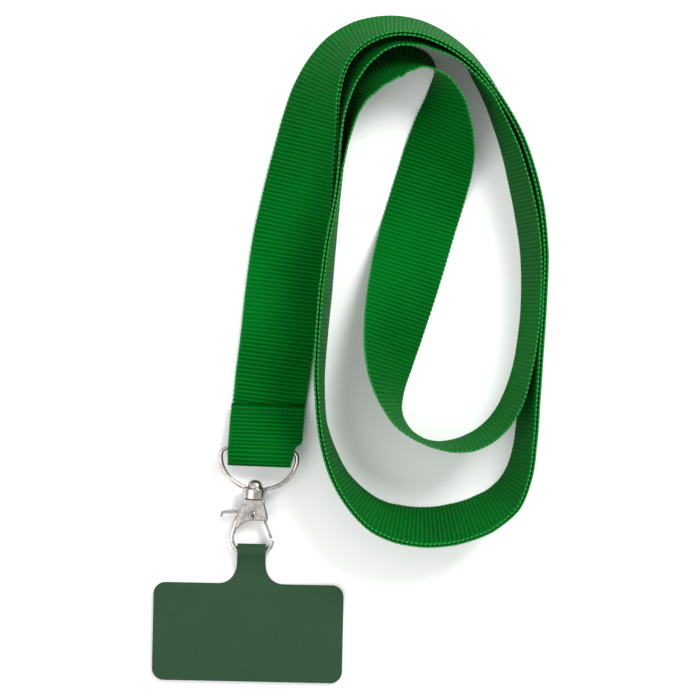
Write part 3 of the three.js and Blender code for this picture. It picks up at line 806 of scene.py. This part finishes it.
@dataclass
class NeckRibbon:
    """The woven strip with its ribs, selvedges and sewn flap."""

    route: RibbonRoute = field(default_factory=RibbonRoute)
    rib_pitch: float = 1.44
    rib_steps: int = 4
    groove_depth: float = 0.13
    columns: tuple[float, ...] = (-1.0, -0.985, -0.93, -0.5, 0.0, 0.5, 0.93, 0.985, 1.0)
    loop_pitch: float = 1.6
    loop_size: float = 0.36
    stitch_pitch: float = 1.3
    stitch_row: float = 2.3
    stitch_margin: float = 1.2
    stitch_lift: float = 0.10
    fold_tuck: float = 0.38

    def strip(self) -> bpy.types.Object:
        """Build the ribbed strip as one closed mesh with a UV map in millimetres.

        Returns:
            The strip.
        """
        route = self.route
        count = int(round(route.total / self.rib_pitch)) * self.rib_steps
        along = np.linspace(0.0, route.total, count + 1)
        at, across, face, width = route.frames(along)
        rib = 0.5 + 0.5 * np.cos(2 * math.pi * along * (count // self.rib_steps) / route.total)
        columns = np.array(self.columns)
        edge = np.abs(columns)
        half = np.where(edge > 0.995, 0.12, route.thickness / 2 * np.where(edge > 0.98, 0.8, 1.0))
        ribbed = np.where(edge < 0.97, 1.0, 0.35)
        rows = []
        for side, order in ((1.0, columns), (-1.0, columns[::-1])):
            thick = half if side > 0 else half[::-1]
            share = ribbed if side > 0 else ribbed[::-1]
            for c, t, r in zip(order, thick, share):
                lift = side * (t - self.groove_depth * r * (1.0 - rib))
                rows.append(at + across * (c * width / 2)[:, None] + face * lift[:, None])
        ring = len(rows)
        verts = np.stack(rows, axis=1).reshape(-1, 3) * MM
        faces: list[tuple[int, ...]] = []
        for i in range(count):
            for j in range(ring):
                k = (j + 1) % ring
                a, b = i * ring, (i + 1) * ring
                faces.append((a + j, a + k, b + k, b + j))
        faces.append(tuple(range(ring - 1, -1, -1)))
        faces.append(tuple(range(count * ring, (count + 1) * ring)))
        obj = mesh_object("neck_ribbon_woven", verts, faces)
        self._map_strip(obj, along, np.concatenate((columns, columns[::-1])), ring)
        self._outward(obj)
        return obj

    def _map_strip(self, obj: bpy.types.Object, along: np.ndarray, columns: np.ndarray, ring: int) -> None:
        """Write the strip's UV map: across, then along, both in millimetres.

        Args:
            obj: the strip.
            along: distance of each section.
            columns: place across of each point of a section.
            ring: points in a section.
        """
        layer = obj.data.uv_layers.new(name="strip")
        index = np.empty(len(obj.data.loops), dtype=np.int32)
        obj.data.loops.foreach_get("vertex_index", index)
        uv = np.stack((columns[index % ring] * self.route.width / 2, along[index // ring]), axis=1)
        layer.data.foreach_set("uv", uv.astype(np.float32).ravel())

    def _outward(self, obj: bpy.types.Object) -> None:
        """Point a closed mesh's faces outwards.

        Args:
            obj: the object whose mesh is turned.
        """
        bm = bmesh.new()
        bm.from_mesh(obj.data)
        bmesh.ops.recalc_face_normals(bm, faces=bm.faces)
        bm.to_mesh(obj.data)
        bm.free()

    def _edge_line(self, side: float, inset: float) -> np.ndarray:
        """Return the points of one selvedge.

        Args:
            side: 1 or -1, which edge.
            inset: distance in from the edge.

        Returns:
            Points in metres.
        """
        along = np.arange(0.8, self.route.total - 0.8, 0.5)
        at, across, _, width = self.route.frames(along)
        tucked = np.interp(width, [self.route.fold_width, self.route.flap_width], [self.fold_tuck, 0.0])
        return (at + across * (side * (width / 2 - inset - tucked))[:, None]) * MM

    def selvedges(self, material: bpy.types.Material) -> bpy.types.Object:
        """Build the row of weft loops along both edges with Geometry Nodes.

        Args:
            material: the yarn's finish.

        Returns:
            The loops as one plain mesh.
        """
        lines = [self._edge_line(1.0, 0.05), self._edge_line(-1.0, 0.05)]
        verts = np.concatenate(lines)
        edges, start = [], 0
        for line in lines:
            edges += [(start + i, start + i + 1) for i in range(len(line) - 1)]
            start += len(line)
        mesh = bpy.data.meshes.new("selvedge_loops")
        mesh.from_pydata(verts.tolist(), edges, [])
        obj = bpy.data.objects.new("selvedge_loops", mesh)
        bpy.context.collection.objects.link(obj)
        tree = bead_row_tree()
        run_tree(
            obj,
            tree,
            {
                "Pitch": self.loop_pitch * MM,
                "Length": self.loop_pitch * 0.34 * MM,
                "Thickness": self.loop_size * MM,
                "Slant": 0.0,
                "Material": material,
            },
        )
        return obj

    def seam(self, material: bpy.types.Material) -> bpy.types.Object:
        """Build the zigzag stitch row across the flap with Geometry Nodes.

        Args:
            material: the thread's finish.

        Returns:
            The stitches as one plain mesh.
        """
        at, across, face, width = self.route.frames(np.array([self.route.total - self.stitch_row]))
        out = face[0] * np.sign(face[0][2])
        half = width[0] / 2 - self.stitch_margin
        steps = np.linspace(-half, half, 40)
        verts = (at[0] + out * (self.route.thickness / 2 + self.stitch_lift) + np.outer(steps, across[0])) * MM
        mesh = bpy.data.meshes.new("flap_stitches")
        mesh.from_pydata(verts.tolist(), [(i, i + 1) for i in range(len(steps) - 1)], [])
        obj = bpy.data.objects.new("flap_stitches", mesh)
        bpy.context.collection.objects.link(obj)
        run_tree(
            obj,
            bead_row_tree(),
            {
                "Pitch": self.stitch_pitch * MM,
                "Length": 0.70 * MM,
                "Thickness": 0.24 * MM,
                "Slant": math.radians(38.0),
                "Material": material,
            },
        )
        return obj

    def build(self) -> None:
        """Build and dress the ribbon, its selvedges and its seam."""
        strip = self.strip()
        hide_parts("neck_ribbon")
        pitch = self.route.total / round(self.route.total / self.rib_pitch)
        dress(strip, GrosgrainFinish(cut_end=self.route.total, rib_pitch=pitch).material(), Body.RIBBON)
        # Painted highlight: the selvedge yarn's colours are set lighter than the ribbon's so that the edge loops show
        # as highlight dots; its twist pattern is the yarn's own.
        edge_yarn = YarnFinish("selvedge_yarn", (0.003, 0.11, 0.012, 1.0), (0.03, 0.30, 0.06, 1.0)).material()
        loops = self.selvedges(edge_yarn)
        dress(loops, edge_yarn, Body.RIBBON)
        thread = YarnFinish("seam_thread", (0.0004, 0.030, 0.003, 1.0), (0.004, 0.115, 0.014, 1.0)).material()
        seam = self.seam(thread)
        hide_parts("flap_seam_thread")
        dress(seam, thread, Body.RIBBON)


def bead_row_tree() -> bpy.types.NodeTree:
    """Build the Geometry Nodes tree that sets slanted beads of yarn along a line.

    Returns:
        The tree, with inputs Pitch, Length, Thickness, Slant and Material.
    """
    if "bead_row" in bpy.data.node_groups:
        return bpy.data.node_groups["bead_row"]
    tree = bpy.data.node_groups.new("bead_row", "GeometryNodeTree")
    face = tree.interface
    face.new_socket("Geometry", in_out="INPUT", socket_type="NodeSocketGeometry")
    for label in ("Pitch", "Length", "Thickness", "Slant"):
        face.new_socket(label, in_out="INPUT", socket_type="NodeSocketFloat")
    face.new_socket("Material", in_out="INPUT", socket_type="NodeSocketMaterial")
    face.new_socket("Geometry", in_out="OUTPUT", socket_type="NodeSocketGeometry")
    n = Nodes(tree)
    inp, out = n.add("NodeGroupInput"), n.add("NodeGroupOutput")
    curve = n.add("GeometryNodeMeshToCurve", {"Mesh": inp.outputs["Geometry"]})
    spacing = {"Curve": curve.outputs[0], "Length": inp.outputs["Pitch"]}
    even = n.add("GeometryNodeResampleCurve", spacing, mode="LENGTH")
    bead = n.add("GeometryNodeMeshUVSphere", {"Segments": 7, "Rings": 5, "Radius": 1.0})
    thick = inp.outputs["Thickness"]
    size = n.add("ShaderNodeCombineXYZ", {0: thick, 1: thick, 2: inp.outputs["Length"]})
    tangent = n.add("GeometryNodeInputTangent")
    turn = n.add("FunctionNodeAlignRotationToVector", {"Vector": tangent.outputs[0]}, axis="Z")
    index = n.add("GeometryNodeInputIndex")
    odd = n.math("MODULO", index.outputs[0], 2.0)
    sign = n.math("SUBTRACT", n.math("MULTIPLY", odd, 2.0), 1.0)
    slant = n.math("MULTIPLY", sign, inp.outputs["Slant"])
    tilt = n.add("ShaderNodeCombineXYZ", {2: slant})
    local = n.add("FunctionNodeEulerToRotation", {0: tilt.outputs[0]})
    both = n.add("FunctionNodeRotateRotation", {0: turn.outputs[0], 1: local.outputs[0]})
    both.rotation_space = "GLOBAL"
    copies = n.add(
        "GeometryNodeInstanceOnPoints",
        {
            "Points": even.outputs[0],
            "Instance": bead.outputs["Mesh"],
            "Rotation": both.outputs[0],
            "Scale": size.outputs[0],
        },
    )
    real = n.add("GeometryNodeRealizeInstances", {0: copies.outputs[0]})
    shaded = n.add("GeometryNodeSetShadeSmooth", {0: real.outputs[0]})
    dressed = n.add("GeometryNodeSetMaterial", {"Geometry": shaded.outputs[0], "Material": inp.outputs["Material"]})
    tree.links.new(dressed.outputs[0], out.inputs[0])
    return tree


def run_tree(obj: bpy.types.Object, tree: bpy.types.NodeTree, values: dict[str, object]) -> None:
    """Run a Geometry Nodes tree on an object and keep the result as its mesh.

    Args:
        obj: the object that carries the line.
        tree: the tree to run.
        values: input name to value.
    """
    modifier = obj.modifiers.new("build", "NODES")
    modifier.node_group = tree
    for item in tree.interface.items_tree:
        if item.item_type == "SOCKET" and item.in_out == "INPUT" and item.name in values:
            modifier[item.identifier] = values[item.name]
    baked(obj)


# ---------------------------------------------------------------- clasp


@dataclass
class Clasp:
    """The D-shaped swivel eye, the rivet, the claw, its gate and the gate's pivot."""

    voxel_mm: float = 0.13
    passes: int = 7

    def build(self) -> None:
        """Build and dress every metal piece."""
        plate = NickelFinish("nickel_satin").material()
        bright = NickelFinish("nickel_bright", smooth=0.12, rough=0.24, bump=0.05).material()
        eye = cast_copy("swivel_eye", "d_ring", self.voxel_mm, self.passes)
        dress(eye, bright, Body.D_RING)
        rivet = cast_copy("swivel_rivet_domed", "swivel_rivet", self.voxel_mm, self.passes)
        dress(rivet, bright, Body.CLAW)
        claw = cast_copy("claw_cast", "claw_body", self.voxel_mm, self.passes)
        dress(claw, plate, Body.CLAW)
        gate = cast_copy("gate_with_lever", "gate_lever", self.voxel_mm, 4)
        dress(gate, bright, Body.GATE)
        pivot = cast_copy("gate_pivot_tube", "gate_pivot", 0.09, 4)
        dress(pivot, bright, Body.CLAW)
        spring = frame["nodes"]["gate_spring"]
        steel = NickelFinish("spring_steel", (0.5, 0.5, 0.52, 1.0), (0.38, 0.38, 0.4, 1.0)).material()
        spring.data.materials.clear()
        spring.data.materials.append(steel)
        LOG.info("gate_spring: CAD node with a steel finish")


# ---------------------------------------------------------------- patch


@dataclass
class TetherPatch:
    """The flat sheet whose tab is folded over the hook's bend."""

    rim_mm: float = 0.18
    fold_squeeze: float = 0.035
    fold_end: float = 7.0
    fold_blend: float = 3.5
    lean: float = 1.2

    def squeeze(self, mesh: bpy.types.Mesh) -> None:
        """Draw the fold's sides in a little, so that they swing clear of the hook.

        Args:
            mesh: the patch's mesh, in metres.
        """
        bend = Vector(next(j["pos_m"] for j in frame["joints"] if j["name"] == "patch_swing"))
        down = Vector((-math.sin(math.radians(self.lean)), -math.cos(math.radians(self.lean)), 0.0))
        side = Vector((-down.y, down.x, 0.0))
        for vertex in mesh.vertices:
            away = vertex.co - bend
            share = min(1.0, max(0.0, (self.fold_end * MM - away.dot(down)) / (self.fold_blend * MM)))
            vertex.co -= side * (away.dot(side) * self.fold_squeeze * share)

    def build(self) -> None:
        """Build and dress the patch from its CAD solid, with softened edges."""
        source = frame["nodes"]["tether_patch"].data
        mesh = source.copy()
        mesh.materials.clear()
        bm = bmesh.new()
        bm.from_mesh(mesh)
        bmesh.ops.remove_doubles(bm, verts=bm.verts, dist=2e-6)
        bmesh.ops.dissolve_limit(bm, angle_limit=math.radians(1.0), verts=bm.verts, edges=bm.edges)
        bm.to_mesh(mesh)
        bm.free()
        self.squeeze(mesh)
        obj = bpy.data.objects.new("tether_patch_sheet", mesh)
        bpy.context.collection.objects.link(obj)
        bevel = obj.modifiers.new("rim", "BEVEL")
        bevel.width = self.rim_mm * MM
        bevel.segments = 3
        bevel.limit_method = "ANGLE"
        bevel.angle_limit = math.radians(50.0)
        bevel.harden_normals = False
        baked(obj)
        obj.data.polygons.foreach_set("use_smooth", [True] * len(obj.data.polygons))
        obj.data.set_sharp_from_angle(angle=math.radians(35.0))
        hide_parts("tether_patch")
        dress(obj, PatchFinish().material(), Body.PATCH)


# ---------------------------------------------------------------- studio


@dataclass
class Studio:
    """Floor, soft lights and the camera."""

    camera_height: float = 3.0
    field: float = 0.2394
    centre: tuple[float, float] = (0.00007, -0.00027)

    def floor(self) -> None:
        """Lay the plain pale floor."""
        mesh = bpy.data.meshes.new("floor")
        s = 4.0
        mesh.from_pydata([(-s, -s, 0), (s, -s, 0), (s, s, 0), (-s, s, 0)], [], [(0, 1, 2, 3)])
        obj = bpy.data.objects.new("floor", mesh)
        bpy.context.collection.objects.link(obj)
        mat = bpy.data.materials.new("floor_white")
        mat.use_nodes = True
        shader = mat.node_tree.nodes["Principled BSDF"]
        shader.inputs["Base Color"].default_value = (0.93, 0.93, 0.93, 1.0)
        shader.inputs["Roughness"].default_value = 0.9
        obj.data.materials.append(mat)

    def light(self, name: str, place: tuple[float, float, float], size: float, power: float) -> None:
        """Hang one soft square light that faces the object.

        Args:
            name: the light's name.
            place: where it hangs, in metres.
            size: its side, in metres.
            power: its power in watts.
        """
        data = bpy.data.lights.new(name, "AREA")
        data.size = size
        data.energy = power
        obj = bpy.data.objects.new(name, data)
        obj.location = place
        obj.rotation_euler = (Vector((0, 0, 0)) - Vector(place)).to_track_quat("-Z", "Y").to_euler()
        bpy.context.collection.objects.link(obj)

    def build(self) -> None:
        """Build the floor, the lights and the camera."""
        self.floor()
        self.light("key", (0.65, 0.75, 1.0), 0.55, 19.0)
        self.light("fill", (-0.8, -0.6, 1.0), 1.2, 9.0)
        world = bpy.data.worlds.new("studio")
        world.use_nodes = True
        world.node_tree.nodes["Background"].inputs[0].default_value = (1.0, 1.0, 1.0, 1.0)
        world.node_tree.nodes["Background"].inputs[1].default_value = 0.85
        bpy.context.scene.world = world
        data = bpy.data.cameras.new("camera")
        data.sensor_width = 36.0
        data.lens = 36.0 * self.camera_height / self.field
        data.clip_end = 50.0
        camera = bpy.data.objects.new("camera", data)
        camera.location = (self.centre[0], self.centre[1], self.camera_height)
        bpy.context.collection.objects.link(camera)
        bpy.context.scene.camera = camera
        bpy.context.scene.view_settings.view_transform = "Standard"


def main() -> None:
    """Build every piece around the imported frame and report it."""
    logging.basicConfig(level=logging.INFO, format="%(name)s: %(message)s")
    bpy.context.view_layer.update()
    Studio().build()
    NeckRibbon().build()
    Clasp().build()
    TetherPatch().build()


if __name__ == "__main__":
    main()
